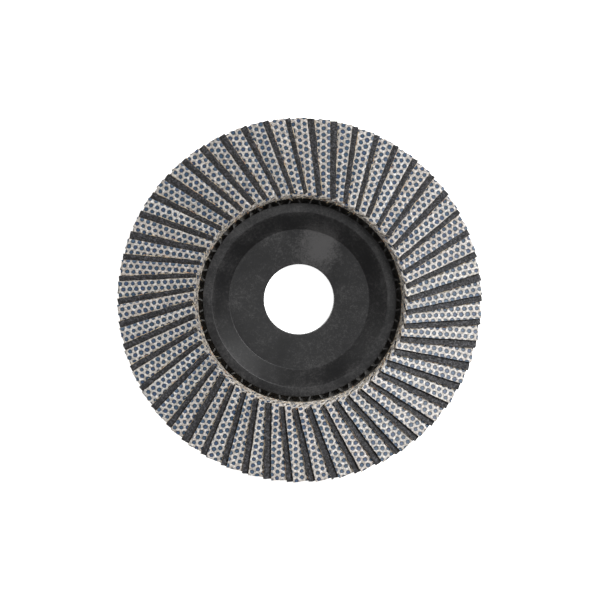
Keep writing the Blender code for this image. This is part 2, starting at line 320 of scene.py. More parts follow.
def buildLeaf(leaf, topHeight, turn, rng, relief, maps):
    # A leaf of coated cloth: fine columns by the free edge, coarse ones where the next leaf covers it.
    # The coat is the top layer, and the cloth below it can stand out raggedly past the free edge.
    fine = np.arange(0, leaf["fineWidth"], leaf["step"])
    coarse = np.linspace(leaf["fineWidth"], stack["flapWidth"], leaf["coarseColumns"])
    freeEdge = -halfWidth - leaf["extraWidth"]
    tip = math.sqrt(discRadius ** 2 - freeEdge ** 2)
    columns = np.concatenate([fine, coarse]) + freeEdge
    columns[-1] = halfWidth
    rows = np.linspace(leaf["root"], tip, int((tip - leaf["root"]) / leaf["step"]) + 1)
    along, across = np.meshgrid(rows, columns, indexing="ij")
    nearFree = 1 - smoothStep(0, leafCut["freeReach"], across - freeEdge)
    nearRoot = 1 - smoothStep(0, leafCut["endReach"], along - leaf["root"])
    nearTip = 1 - smoothStep(0, leafCut["endReach"], tip - along)
    slowWave = wander(rng, rows, leafCut["slowWave"], leaf["edgeWave"])
    freeWave = slowWave + wander(rng, rows, leafCut["quickWave"], leaf["edgeWave"] * 0.6)
    rootWave = wander(rng, columns, leafCut["rootWave"], leaf["endWave"])
    tipWave = -np.abs(wander(rng, columns, leafCut["tipWave"], leaf["endWave"]))
    across = across + nearFree * freeWave[:, None]
    along = along + nearRoot * rootWave[None, :] + nearTip * tipWave[None, :]
    top = topHeight(along, across)
    # the cut edges are rolled down slightly, and each leaf carries a faint warp of its own
    top = top - leaf["roll"] * nearFree ** 3 - leaf["roll"] * nearTip ** 3 - 2 * leaf["roll"] * nearRoot ** 4
    stretch, start = rng.uniform(0.7, 1.3), rng.uniform(0, 6)
    warp = np.sin((along - leaf["root"]) / leafCut["warpLength"] * stretch + start)
    top = top + leaf["warp"] * warp * nearFree
    surface = top + relief(along, across)
    nRows, nColumns = along.shape

    # cloth edge below the coat: a little ragged, and cut square elsewhere
    ragged = np.maximum(0, wander(rng, rows, leafCut["fray"], leaf["ragged"]))
    layers = [
        (along, across, surface),
        (along, across, top - leaf["coat"]),
        (along, across - nearFree * ragged[:, None], top - leaf["coat"] - leafCut["layerStep"]),
        (along, across - nearFree * ragged[:, None] * leafCut["lowFray"], top - leaf["thickness"]),
    ]
    border = [(0, j) for j in range(nColumns)]
    border += [(i, nColumns - 1) for i in range(1, nRows)]
    border += [(nRows - 1, j) for j in range(nColumns - 2, -1, -1)]
    border += [(i, 0) for i in range(nRows - 2, 0, -1)]
    borderRows = np.array([b[0] for b in border])
    borderColumns = np.array([b[1] for b in border])

    points = [np.stack([a.ravel() for a in layers[0]], axis=1)]
    faces, faceMaterials = [], []
    index = np.arange(nRows * nColumns).reshape(nRows, nColumns)
    quads = np.stack([index[:-1, :-1], index[1:, :-1], index[1:, 1:], index[:-1, 1:]], axis=-1).reshape(-1, 4)
    faces += quads.tolist()
    faceMaterials += [0] * len(quads)
    previous = index[borderRows, borderColumns]
    count = nRows * nColumns
    for number, layer in enumerate(layers[1:], start=1):
        ring = np.stack([a[borderRows, borderColumns] for a in layer], axis=1)
        points.append(ring)
        current = count + np.arange(len(border))
        count += len(border)
        following = np.roll(np.arange(len(border)), -1)
        walls = np.stack([previous, previous[following], current[following], current], axis=1)
        faces += walls.tolist()
        faceMaterials += [0 if number == 1 else 1] * len(walls)
        previous = current
    # underside: it follows the top face too, but at a few columns only
    under = dict(zip(border, previous.tolist()))
    middle = [int(np.argmin(np.abs(columns - share * halfWidth))) for share in (-0.5, 0.0, 0.5)]
    inner = [(i, j) for i in range(1, nRows - 1) for j in middle]
    points.append(np.array([(along[i, j], across[i, j], top[i, j] - leaf["thickness"]) for i, j in inner]))
    under.update(zip(inner, range(count, count + len(inner))))
    anchors = [0, *middle, nColumns - 1]
    for i in range(nRows - 1):
        for left, right in zip(anchors, anchors[1:]):
            start = [under[(i, j)] for j in (range(left, right + 1) if i == 0 else (left, right))]
            stop = [under[(i + 1, j)] for j in (range(left, right + 1) if i == nRows - 2 else (left, right))]
            faces.append(start + stop[::-1])
            faceMaterials.append(1)
    points = np.concatenate(points)
    mapValues = {key: make(points[:, 0], points[:, 1]) for key, make in maps.items()}
    world = points.copy()
    world[:, 0] = points[:, 0] * math.cos(turn) - points[:, 1] * math.sin(turn)
    world[:, 1] = points[:, 0] * math.sin(turn) + points[:, 1] * math.cos(turn)
    return world, faces, faceMaterials, mapValues


def addThread(points, faces, faceMaterials, path, radius, slot):
    # a three-sided strand along a path of points
    path = np.asarray(path)
    count = len(points)
    heading = np.gradient(path, axis=0)
    heading /= np.linalg.norm(heading, axis=1)[:, None]
    side = np.cross(heading, (0, 0, 1.0))
    side /= np.maximum(np.linalg.norm(side, axis=1)[:, None], 1e-9)
    lift = np.cross(side, heading)
    taper = radius * np.sin(np.linspace(0.35, math.pi - 0.35, len(path)))
    for k, place in enumerate(path):
        for corner in range(3):
            angle = corner * math.tau / 3
            points.append(place + taper[k] * (side[k] * math.cos(angle) + lift[k] * math.sin(angle)))
    for k in range(len(path) - 1):
        for corner in range(3):
            a, b = count + 3 * k + corner, count + 3 * k + (corner + 1) % 3
            faces.append((a + 3, b + 3, b, a))
            faceMaterials.append(slot)
    last = count + 3 * (len(path) - 1)
    faces += [(count, count + 1, count + 2), (last + 2, last + 1, last)]
    faceMaterials += [slot, slot]


def strandPath(rng, start, heading, length, steps=5, curl=0.35):
    # a short strand that wanders about its heading
    heading = np.asarray(heading, float)
    path = [np.asarray(start, float)]
    for _ in range(steps):
        heading = heading + rng.normal(0, curl, 3) * (1, 1, 0.4)
        heading /= np.linalg.norm(heading)
        path.append(path[-1] + heading * length / steps)
    return path


# dotted flaps

dots = {
    "pitch": 2.02,        # mm between neighbouring dots
    "radius": 0.675,      # mm
    "depth": 0.11 * mm,   # how far the dots lie below the cream coat
    "tilt": math.radians(3.0),
}
dotCell = np.array([dots["pitch"], dots["pitch"] * math.sqrt(3)])

dottedFlap = {
    "root": stack["flapRoot"],
    "step": 0.27 * mm,
    "fineWidth": 6.9 * mm,
    "coarseColumns": 5,
    "extraWidth": 0.0,
    "coat": 0.38 * mm,
    "thickness": 0.92 * mm,
    "edgeWave": 0.035 * mm,
    "endWave": 0.06 * mm,
    "ragged": 0.05 * mm,
    "roll": 0.13 * mm,
    "warp": 0.03 * mm,
    "grain": 0.018 * mm,
}


def dotDistance(lattice):
    # mm to the nearest dot's centre; the staggered dots are two square grids laid into each other
    first = ((lattice % 1) - 0.5) * dotCell
    second = (((lattice + 0.5) % 1) - 0.5) * dotCell
    return np.minimum(np.hypot(first[..., 0], first[..., 1]), np.hypot(second[..., 0], second[..., 1]))


def makeDottedFlaps(materials):
    for number in range(stack["pairs"]):
        rng = np.random.default_rng(1000 + number)
        jitter = offPitch(rng)
        turn = stack["firstAngle"] + number * pitch + jitter
        tilt = rng.normal(0, dots["tilt"])
        phase = rng.uniform(0, 1, 2)
        tone = rng.uniform(0, 1)

        def lattice(along, across):
            x = (along * math.cos(tilt) + across * math.sin(tilt)) / mm
            y = (across * math.cos(tilt) - along * math.sin(tilt)) / mm
            return np.stack([x / dotCell[0] + phase[0], y / dotCell[1] + phase[1]], axis=-1)

        def laidTop(along, across):
            # a leaf laid off its pitch still rests on the one below
            return flapTop(along, across) - risePerRadian * jitter

        def relief(along, across):
            away = dotDistance(lattice(along, across))
            bead = 0.35 * np.clip(1 - (away / dots["radius"]) ** 2, 0, 1)
            inside = 1 - smoothStep(dots["radius"] - 0.12, dots["radius"] + 0.14, away)
            return -dots["depth"] * inside * (1 - bead) + rng.normal(0, dottedFlap["grain"], along.shape)

        def edgeDistanceAndTone(along, across):
            return np.stack([(across + halfWidth) / mm, np.full(along.shape, tone)], axis=-1)

        def cutEnd(along, across):
            return np.stack([(along - stack["flapRoot"]) / mm, across / mm], axis=-1)

        maps = {"dotLattice": lattice, "edgeAndTone": edgeDistanceAndTone, "cutEnd": cutEnd}
        world, faces, faceMaterials, mapValues = buildLeaf(dottedFlap, laidTop, turn, rng, relief, maps)
        points = list(world)
        addFlapThreads(rng, points, faces, faceMaterials, turn)
        filler = np.zeros((len(points) - len(world), 2))
        mapValues = {key: np.concatenate([value, filler]) for key, value in mapValues.items()}
        piece = addPiece(f"dotted_{number + 1:02d}", points, faces, materials,
                         faceMaterials, mapValues)
        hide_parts(f"flap_{number + 1:02d}")
    print("dotted flaps", stack["pairs"])


threads = {
    # a range without a unit is in mm; depths are below a leaf's top face
    "spread": (0.0, 6.5),    # how far from the free edge the ends' yarns start
    "rootCount": 16,
    "rootStart": (-0.05, 0.20),
    "rootDepth": (0.35, 0.85),
    "rootLength": (0.5, 1.5),
    "rootOrange": 0.30,      # share of the yarns that are orange
    "tipCount": 7,
    "tipStart": 0.15 * mm,
    "tipDepth": (0.45, 0.9),
    "tipLength": (0.25, 0.6),
    "edgeCount": 20,
    "edgeStop": 1.5 * mm,    # the spacers' edge yarns keep this far from the tip
    "edgeStart": (-0.02, 0.14),
    "edgeDepth": (0.45, 0.70),
    "edgeLength": (0.5, 2.2),
    "edgeOrange": 0.22,
    "radius": (0.030 * mm, 0.075 * mm),
}


def turned(place, turn):
    x, y, z = place
    return np.array([x * math.cos(turn) - y * math.sin(turn), x * math.sin(turn) + y * math.cos(turn), z])


def addFlapThreads(rng, points, faces, faceMaterials, turn):
    # loose strands of the backing cloth at the cut root and tip
    for _ in range(threads["rootCount"]):
        across = -halfWidth + rng.uniform(*threads["spread"]) * mm
        along = stack["flapRoot"] + rng.uniform(*threads["rootStart"]) * mm
        height = flapTop(along, across) - rng.uniform(*threads["rootDepth"]) * mm
        heading = turned((rng.normal(0.0, 0.3), rng.choice([-1, 1]), 0.0), turn)
        start = turned((along, across, height), turn)
        path = strandPath(rng, start, heading, rng.uniform(*threads["rootLength"]) * mm)
        slot = 3 if rng.uniform() < threads["rootOrange"] else 2
        addThread(points, faces, faceMaterials, path, rng.uniform(*threads["radius"]), slot)
    for _ in range(threads["tipCount"]):
        across = -halfWidth + rng.uniform(*threads["spread"]) * mm
        height = flapTop(leafTip, across) - rng.uniform(*threads["tipDepth"]) * mm
        heading = turned((0.6, rng.normal(0, 1.0), 0.0), turn)
        start = turned((leafTip - threads["tipStart"], across, height), turn)
        path = strandPath(rng, start, heading, rng.uniform(*threads["tipLength"]) * mm, steps=3)
        addThread(points, faces, faceMaterials, path, threads["radius"][0], 2)


def mixColours(tree, factor, first, second, blend="MIX"):
    # first and second are (node, output) or linear colours; a Mix node's are its inputs 6 and 7, and
    # the mixed colour is its output 2
    return addNode(tree, "Mix", {"data_type": "RGBA", "blend_type": blend}, {0: factor, 6: first, 7: second})


def dotPattern(tree, lattice):
    # from lattice coordinates: mm to the nearest dot's centre, and a random colour for each dot
    found = []
    for shift in (0.0, 0.5):
        moved = addNode(tree, "VectorMath", {"operation": "ADD"}, {0: lattice, 1: (shift, shift, 0)})
        within = addNode(tree, "VectorMath", {"operation": "FRACTION"}, {0: (moved, "Vector")})
        centred = addNode(tree, "VectorMath", {"operation": "SUBTRACT"},
                          {0: (within, "Vector"), 1: (0.5, 0.5, 0)})
        inMm = addNode(tree, "VectorMath", {"operation": "MULTIPLY"},
                       {0: (centred, "Vector"), 1: (dotCell[0], dotCell[1], 0)})
        away = addNode(tree, "VectorMath", {"operation": "LENGTH"}, {0: (inMm, "Vector")})
        cell = addNode(tree, "VectorMath", {"operation": "FLOOR"}, {0: (moved, "Vector")})
        named = addNode(tree, "VectorMath", {"operation": "ADD"}, {0: (cell, "Vector"), 1: (shift, 0.2, 0)})
        chance = addNode(tree, "TexWhiteNoise", {"noise_dimensions": "2D"}, {"Vector": (named, "Vector")})
        found.append((away, chance))
    (awayA, chanceA), (awayB, chanceB) = found
    nearest = addNode(tree, "Math", {"operation": "MINIMUM"}, {0: (awayA, "Value"), 1: (awayB, "Value")})
    isB = addNode(tree, "Math", {"operation": "GREATER_THAN"}, {0: (awayA, "Value"), 1: (awayB, "Value")})
    return nearest, mixColours(tree, (isB, "Value"), (chanceA, "Color"), (chanceB, "Color"))


def dottedCoat():
    # Ceramic grain in a cream resin size coat, with the blue make coat open in round dots.
    # It reads as a dry, sparkling cream net over smoother blue dots, painted paler along the raised free edge
    # as a highlight.
    material, tree, shader = newMaterial("ceramicGrainInCreamResin", {"IOR": 1.55, "Specular IOR Level": 0.5,
                                                                      "Roughness": 0.5})
    place = objectPlace(tree)
    lattice = addNode(tree, "UVMap", {"uv_map": "dotLattice"})
    edge = addNode(tree, "UVMap", {"uv_map": "edgeAndTone"})
    edgeParts = addNode(tree, "SeparateXYZ", inputs={0: (edge, "UV")})

    # the dots' outlines are printed unevenly, by about a tenth of a millimetre
    wobble = addNode(tree, "TexNoise", inputs={"Vector": (place, "Vector"), "Scale": 1.5, "Detail": 3.0})
    centred = addNode(tree, "VectorMath", {"operation": "SUBTRACT"},
                      {0: (wobble, "Color"), 1: (0.5, 0.5, 0.5)})
    shift = addNode(tree, "VectorMath", {"operation": "MULTIPLY"},
                    {0: (centred, "Vector"), 1: (0.42 / dotCell[0], 0.42 / dotCell[1], 0)})
    moved = addNode(tree, "VectorMath", {"operation": "ADD"}, {0: (lattice, "UV"), 1: (shift, "Vector")})
    away, chance = dotPattern(tree, (moved, "Vector"))
    chanceParts = addNode(tree, "SeparateColor", inputs={"Color": (chance, 2)})
    size = addNode(tree, "MapRange", inputs={"Value": (chanceParts, "Red"), "To Min": 0.92, "To Max": 1.10})
    reach = addNode(tree, "Math", {"operation": "DIVIDE"}, {0: (away, "Value"), 1: dots["radius"]})
    ratio = addNode(tree, "Math", {"operation": "DIVIDE"}, {0: (reach, "Value"), 1: (size, "Result")})
    inDot = addNode(tree, "MapRange", {"interpolation_type": "SMOOTHSTEP"},
                    {"Value": (ratio, "Value"), "From Min": 1.14, "From Max": 0.90})

    # grit of 0.2 mm in the cream, drawn at 0.6 mm so that it shows
    grain = addNode(tree, "TexNoise", inputs={"Vector": (place, "Vector"), "Scale": 1.6, "Detail": 3.0,
                                              "Roughness": 0.6})
    netRamp = setStops(addNode(tree, "ValToRGB", inputs={"Fac": (grain, "Fac")}),
                       [(0.30, "#716e6a"), (0.43, "#9a9793"), (0.53, "#aeaba8"), (0.66, "#dcdbda")])
    blotch = addNode(tree, "TexNoise", inputs={"Vector": (place, "Vector"), "Scale": 0.55, "Detail": 2.0})
    blotchRamp = setStops(addNode(tree, "ValToRGB", inputs={"Fac": (blotch, "Fac")}),
                          [(0.30, "#f2ede9"), (0.46, "#fafbfb"), (0.58, "#f3f1ec"), (0.72, "#fbf9f8")])
    tinted = mixColours(tree, 1.0, (netRamp, "Color"), (blotchRamp, "Color"), "MULTIPLY")
    toneRamp = setStops(addNode(tree, "ValToRGB", inputs={"Fac": (edgeParts, "Y")}),
                        [(0.0, "#e6e4e2"), (0.35, "#f8f6f3"), (0.65, "#f2edea"), (1.0, "#fdfdfd")])
    net = mixColours(tree, 1.0, (tinted, 2), (toneRamp, "Color"), "MULTIPLY")

    # blue dots, each of its own blue: darker round the rim as painted shade where they sink below the coat,
    # and lighter in the middle as a painted highlight
    dotRimShadeRamp = setStops(addNode(tree, "ValToRGB", inputs={"Fac": (ratio, "Value")}),
                       [(0.05, "#37556f"), (0.45, "#2c4861"), (0.80, "#182f44"), (1.0, "#101c2c")])
    blueRamp = setStops(addNode(tree, "ValToRGB", inputs={"Fac": (chanceParts, "Green")}),
                        [(0.0, "#cfe3e6"), (0.5, "#e8eef4"), (1.0, "#dcdaf4")])
    blue = mixColours(tree, 1.0, (dotRimShadeRamp, "Color"), (blueRamp, "Color"), "MULTIPLY")
    speck = addNode(tree, "TexNoise", inputs={"Vector": (place, "Vector"), "Scale": 4.5, "Detail": 2.0})
    speckRamp = setStops(addNode(tree, "ValToRGB", inputs={"Fac": (speck, "Fac")}),
                         [(0.30, "#b5b5b5"), (0.62, "#ffffff")])
    blueGrain = mixColours(tree, 1.0, (blue, 2), (speckRamp, "Color"), "MULTIPLY")

    # painted highlight: the dots are drawn pale within 0.75 mm of the free edge, where the raised edge
    # catches the light
    edgeHighlight = addNode(tree, "MapRange", {"interpolation_type": "SMOOTHSTEP"},
                   {"Value": (edgeParts, "X"), "From Min": 0.75, "From Max": 0.10, "To Max": 0.32})
    edgeLitBlue = mixColours(tree, (edgeHighlight, "Result"), (blueGrain, 2), linear("#5c6b7a"))
    whole = mixColours(tree, (inDot, "Result"), (net, 2), (edgeLitBlue, 2))

    # the coat has flaked from the cut root end and shows the cloth's yarns, which run along the cut; the dark
    # stripes between them are painted shade in the gaps between the layers
    cutEnd = addNode(tree, "UVMap", {"uv_map": "cutEnd"})
    stretched = addNode(tree, "VectorMath", {"operation": "MULTIPLY"}, {0: (cutEnd, "UV"), 1: (5.5, 0.7, 0)})
    yarns = addNode(tree, "TexNoise", {"noise_dimensions": "2D"},
                    {"Vector": (stretched, "Vector"), "Detail": 2.0, "Scale": 1.0})
    yarnAndGapShadeRamp = setStops(addNode(tree, "ValToRGB", inputs={"Fac": (yarns, "Fac")}),
                        [(0.38, "#292725"), (0.50, "#7a746c"), (0.64, "#b9b2a7")])
    cutParts = addNode(tree, "SeparateXYZ", inputs={0: (cutEnd, "UV")})
    flaked = addNode(tree, "Math", {"operation": "MULTIPLY_ADD"},
                     {0: (wobble, "Fac"), 1: -1.1, 2: (cutParts, "X")})
    bare = addNode(tree, "MapRange", {"interpolation_type": "SMOOTHSTEP"},
                   {"Value": (flaked, "Value"), "From Min": 0.0, "From Max": -0.25, "To Max": 0.80})
    colour = mixColours(tree, (bare, "Result"), (whole, 2), (yarnAndGapShadeRamp, "Color"))
    tree.links.new(colour.outputs[2], shader.inputs["Base Color"])

    grit = addNode(tree, "TexVoronoi", inputs={"Vector": (place, "Vector"), "Scale": 3.6})
    height = addNode(tree, "Math", {"operation": "MULTIPLY_ADD"},
                     {0: (grit, "Distance"), 1: 0.5, 2: (grain, "Fac")})
    sunk = addNode(tree, "Math", {"operation": "MULTIPLY_ADD"},
                   {0: (inDot, "Result"), 1: -1.0, 2: (height, "Value")})
    bump = addNode(tree, "Bump", inputs={"Height": (sunk, "Value"), "Strength": 0.8, "Distance": 0.06 * mm})
    tree.links.new(bump.outputs["Normal"], shader.inputs["Normal"])
    return material


def backingCloth(name, light, dark):
    # Woven polyester backing cloth, tan from its resin fill; its edge is seen wherever a leaf is cut.
    material, tree, shader = newMaterial(name, {"IOR": 1.5, "Roughness": 0.85, "Specular IOR Level": 0.3})
    place = objectPlace(tree)
    weave = addNode(tree, "TexVoronoi", {"distance": "CHEBYCHEV"},
                    {"Vector": (place, "Vector"), "Scale": 2.2})
    fuzz = addNode(tree, "TexNoise", inputs={"Vector": (place, "Vector"), "Scale": 5.0, "Detail": 3.0})
    mixed = addNode(tree, "Math", {"operation": "MULTIPLY_ADD"},
                    {0: (weave, "Distance"), 1: 0.6, 2: (fuzz, "Fac")})
    ramp = setStops(addNode(tree, "ValToRGB", inputs={"Fac": (mixed, "Value")}),
                    [(0.35, light), (0.95, dark)])
    tree.links.new(ramp.outputs["Color"], shader.inputs["Base Color"])
    bump = addNode(tree, "Bump", inputs={"Height": (mixed, "Value"), "Strength": 0.7, "Distance": 0.05 * mm})
    tree.links.new(bump.outputs["Normal"], shader.inputs["Normal"])
    return material


def thread(name, light, dark):
    # Spun polyester yarn, pulled out of the cut edges
    material, tree, shader = newMaterial(name, {"IOR": 1.5, "Roughness": 0.8, "Specular IOR Level": 0.3})
    fuzz = addNode(tree, "TexNoise", inputs={"Vector": (objectPlace(tree), "Vector"), "Scale": 2.0,
                                             "Detail": 3.0})
    ramp = setStops(addNode(tree, "ValToRGB", inputs={"Fac": (fuzz, "Fac")}), [(0.3, dark), (0.65, light)])
    tree.links.new(ramp.outputs["Color"], shader.inputs["Base Color"])
    return material


# black spacers

spacer = {
    "root": stack["spacerRoot"],
    "step": 0.27 * mm,
    "fineWidth": 2.7 * mm,
    "coarseColumns": 5,
    "extraWidth": 1.00 * mm,   # black cloth is cut a little wider, and all of it shows
    "coat": 0.36 * mm,
    "thickness": 0.62 * mm,
    "edgeWave": 0.075 * mm,
    "endWave": 0.10 * mm,
    "ragged": 0.11 * mm,
    "roll": 0.10 * mm,
    "warp": 0.03 * mm,
    "grain": 0.022 * mm,
}


def spacerSetOf(number):
    # which CAD set the numbered spacer (from 0) belongs to; the sets share the spacers out evenly
    sets = stack["spacerSets"]
    return next(k for k in range(1, sets + 1) if number < round(k * stack["pairs"] / sets))


def makeSpacers(materials):
    for number in range(stack["pairs"]):
        rng = np.random.default_rng(5000 + number)
        jitter = offPitch(rng)
        turn = stack["firstAngle"] - stack["spacerLead"] + number * pitch + jitter

        def laidTop(along, across):
            return spacerTop(along, across) - risePerRadian * jitter

        def relief(along, across):
            return rng.normal(0, spacer["grain"], along.shape)

        world, faces, faceMaterials, _ = buildLeaf(spacer, laidTop, turn, rng, relief, {})
        points = list(world)
        for _ in range(threads["edgeCount"]):
            along = rng.uniform(spacer["root"], leafTip - threads["edgeStop"])
            across = -halfWidth - spacer["extraWidth"] - rng.uniform(*threads["edgeStart"]) * mm
            height = spacerTop(along, across) - rng.uniform(*threads["edgeDepth"]) * mm
            start = turned((along, across, height), turn)
            heading = turned((1, rng.normal(0, 0.12), -0.14), turn)
            path = strandPath(rng, start, heading, rng.uniform(*threads["edgeLength"]) * mm, curl=0.10)
            addThread(points, faces, faceMaterials, path, rng.uniform(*threads["radius"]),
                      3 if rng.uniform() < threads["edgeOrange"] else 2)
        piece = addPiece(f"spacer_{number + 1:02d}", points, faces, materials, faceMaterials)
        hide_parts(f"spacer_set_{spacerSetOf(number)}")
    print("spacers", stack["pairs"])


def spacerCoat():
    # Silicon carbide grit in black resin: near black, dry, with small bright facets
    material, tree, shader = newMaterial("siliconCarbideInBlackResin",
                                         {"IOR": 1.55, "Specular IOR Level": 0.35})
    place = objectPlace(tree)
    # grit of 0.2 mm, drawn at 0.4 mm so that it shows
    grit = addNode(tree, "TexVoronoi", inputs={"Vector": (place, "Vector"), "Scale": 2.6})
    clump = addNode(tree, "TexNoise", inputs={"Vector": (place, "Vector"), "Scale": 1.4, "Detail": 4.0})
    facet = addNode(tree, "SeparateColor", inputs={"Color": (grit, "Color")})
    fine = addNode(tree, "TexNoise", inputs={"Vector": (place, "Vector"), "Scale": 5.0, "Detail": 3.0})
    speckled = addNode(tree, "Math", {"operation": "MULTIPLY_ADD"}, {0: (fine, "Fac"), 1: 1.1, 2: -0.56})
    faceted = addNode(tree, "Math", {"operation": "MULTIPLY_ADD"},
                      {0: (facet, "Red"), 1: 0.38, 2: (clump, "Fac")})
    mixed = addNode(tree, "Math", {"operation": "ADD"}, {0: (faceted, "Value"), 1: (speckled, "Value")})
    ramp = setStops(addNode(tree, "ValToRGB", inputs={"Fac": (mixed, "Value")}),
                    [(0.40, "#0b0b0c"), (0.70, "#19191b"), (1.0, "#4a4a4e")])
    tree.links.new(ramp.outputs["Color"], shader.inputs["Base Color"])
    roughness = addNode(tree, "MapRange", inputs={"Value": (facet, "Green"), "To Min": 0.55, "To Max": 0.90})
    tree.links.new(roughness.outputs["Result"], shader.inputs["Roughness"])
    height = addNode(tree, "Math", {"operation": "MULTIPLY_ADD"},
                     {0: (grit, "Distance"), 1: -0.7, 2: (clump, "Fac")})
    bump = addNode(tree, "Bump", inputs={"Height": (height, "Value"), "Strength": 1.0, "Distance": 0.09 * mm})
    tree.links.new(bump.outputs["Normal"], shader.inputs["Normal"])
    return material


# backing plate

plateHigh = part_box("backing_plate")[1]
hubThickness = next(m["pos_m"][2] for m in frame["record"]["mounts"] if m["name"] == "nut_recess_floor")
plate = {
    "bore": 11.115 * mm,
    "recess": 22.2 * mm,
    "wallRun": 5.5 * mm,
    "lip": 2.85 * mm,
    "lipHeight": 3.0 * mm,
    "trenchDepth": 1.0 * mm,
    "rimWidth": 3.0 * mm,
    "rimBead": 0.4 * mm,
    "flange": 2.6 * mm,
    "skirt": 1.5 * mm,
    "edge": 0.45 * mm,
    "lipEdge": 0.12 * mm,
    "floorFillet": 0.10 * mm,
    "trenchFillet": 0.20 * mm,
    "beadFillet": 0.15 * mm,
    "beadRun": 0.3 * mm,       # the bead slopes into the flange over this
    "skirtFillet": 1.2 * mm,
    "boreEdge": 0.27 * mm,
    "segments": 240,
    "filletSteps": 5,
    "ribPeaks": 30,
    "ribInset": 2.55 * mm,     # the zigzag's inner points are hidden in the lip
    "ribLength": 6.6 * mm,
    "ribTail": 0.6 * mm,       # how far a rib runs on into the lip
    "ribThickness": 0.5 * mm,
    "ribEdge": 0.03 * mm,      # height of the rounding on a rib's top
    "ribSunk": 0.2 * mm,       # how far the ribs, then their crests, start below the trench floor
    "crestSunk": 0.1 * mm,
    "crestShare": 0.92,        # a crest's thickness in its rib's
    "crestDrop": 0.25 * mm,    # from the lip's top to the ribs' in the gap
    "crestGap": 0.3 * mm,      # the tall part stops this far before the flaps
}
lipTop = plateHigh.z
flangeTop = lipTop - plate["lipHeight"]
flangeBack = flangeTop - plate["flange"]
trenchFloor = flangeTop - plate["trenchDepth"]
plateRadius = plateHigh.x
trenchRadius = plateRadius - plate["rimWidth"]
lipInner = plate["recess"] + plate["wallRun"]
lipOuter = lipInner + plate["lip"]


def roundedOutline(corners, steps):
    outline = []
    for index, (radius, height, fillet) in enumerate(corners):
        if not fillet:
            outline.append((radius, height))
            continue
        corner = np.array((radius, height))
        ends = []
        for other in (corners[index - 1], corners[(index + 1) % len(corners)]):
            way = np.array(other[:2]) - corner
            ends.append(corner + way / np.linalg.norm(way) * fillet)
        for share in np.linspace(0, 1, steps + 1):
            rest = 1 - share
            outline.append(tuple(rest ** 2 * ends[0] + 2 * share * rest * corner + share ** 2 * ends[1]))
    return outline


def lathe(outline, segments, points, faces):
    # outline runs so that the outside is on its left, seen with the axis at the left hand
    start = len(points)
    for step in range(segments):
        angle = step * math.tau / segments
        for radius, height in outline:
            points.append((radius * math.cos(angle), radius * math.sin(angle), height))
    count = len(outline)
    for step in range(segments):
        after = (step + 1) % segments
        for index in range(count):
            following = (index + 1) % count
            faces.append((start + step * count + following, start + after * count + following,
                          start + after * count + index, start + step * count + index))


def zigzagLegs():
    # each leg of the ribs' centre line in plan, from its hidden inner point to its outer one
    half = math.pi / plate["ribPeaks"]
    inner = lipOuter - plate["ribInset"]
    corners = [np.array(polar(inner + step % 2 * plate["ribLength"], (step + 0.5) * half))
               for step in range(2 * plate["ribPeaks"])]
    legs = []
    for step, corner in enumerate(corners):
        after = corners[(step + 1) % len(corners)]
        legs.append((corner, after) if step % 2 == 0 else (after, corner))
    return legs


def addWall(points, faces, start, stop, half, low, high):
    # low wall with a rounded top
    way = (stop - start) / np.linalg.norm(stop - start)
    side = np.array((-way[1], way[0]))
    edge, flat = high - plate["ribEdge"], half * 0.9
    section = [(-half, low), (-half, edge), (-flat, high), (flat, high), (half, edge), (half, low)]
    count, first = len(section), len(points)
    for end in (start, stop):
        points += [(*(end + side * across), height) for across, height in section]
    for k in range(count):
        n = (k + 1) % count
        faces.append((first + count + k, first + count + n, first + n, first + k))
    faces.append(tuple(first + k for k in range(count)))
    faces.append(tuple(first + count + k for k in range(count - 1, -1, -1)))


def addRibs(points, faces):
    # under the flaps the ribs are as low as the flange; in the gap before them they stand taller
    half = plate["ribThickness"] / 2
    tallEnd = stack["flapRoot"] - plate["crestGap"]
    inner = lipOuter - plate["ribInset"]
    shares = [(radius - inner) / plate["ribLength"] for radius in (lipOuter - plate["ribTail"], tallEnd)]
    for start, stop in zigzagLegs():
        near, far = (start + (stop - start) * share for share in shares)
        addWall(points, faces, near, stop, half, trenchFloor - plate["ribSunk"], flangeTop)
        addWall(points, faces, near, far, half * plate["crestShare"], trenchFloor - plate["crestSunk"],
                lipTop - plate["crestDrop"])


def makePlate(materials):
    slope = plate["wallRun"] / (lipTop - hubThickness)
    backRadius = plate["recess"] + plate["skirt"]
    edge = plate["edge"]
    beadBack = flangeBack - plate["rimBead"]
    corners = [
        (plate["bore"], 0.0, plate["boreEdge"]),
        (plate["bore"], hubThickness, plate["boreEdge"]),
        (plate["recess"], hubThickness, plate["floorFillet"]),
        (lipInner, lipTop, plate["lipEdge"]),
        (lipOuter, lipTop, plate["lipEdge"]),
        (lipOuter, trenchFloor, plate["trenchFillet"]),
        (trenchRadius, trenchFloor, 0.0),
        (trenchRadius, flangeTop, 0.0),
        (plateRadius, flangeTop, edge),
        (plateRadius, beadBack, edge),
        (trenchRadius, beadBack, plate["beadFillet"]),
        (trenchRadius - plate["beadRun"], flangeBack, plate["beadFillet"]),
        (backRadius + flangeBack * slope, flangeBack, plate["skirtFillet"]),
        (backRadius, 0.0, edge),
    ]
    points, faces = [], []
    lathe(roundedOutline(corners, plate["filletSteps"]), plate["segments"], points, faces)
    turnedFaces = len(faces)
    addRibs(points, faces)
    faceMaterials = [0] * turnedFaces + [1] * (len(faces) - turnedFaces)
    piece = addPiece("backingPlate", points, faces, materials, faceMaterials, sharp=40)
    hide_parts("backing_plate")
    print("backing plate", len(faces), "faces")


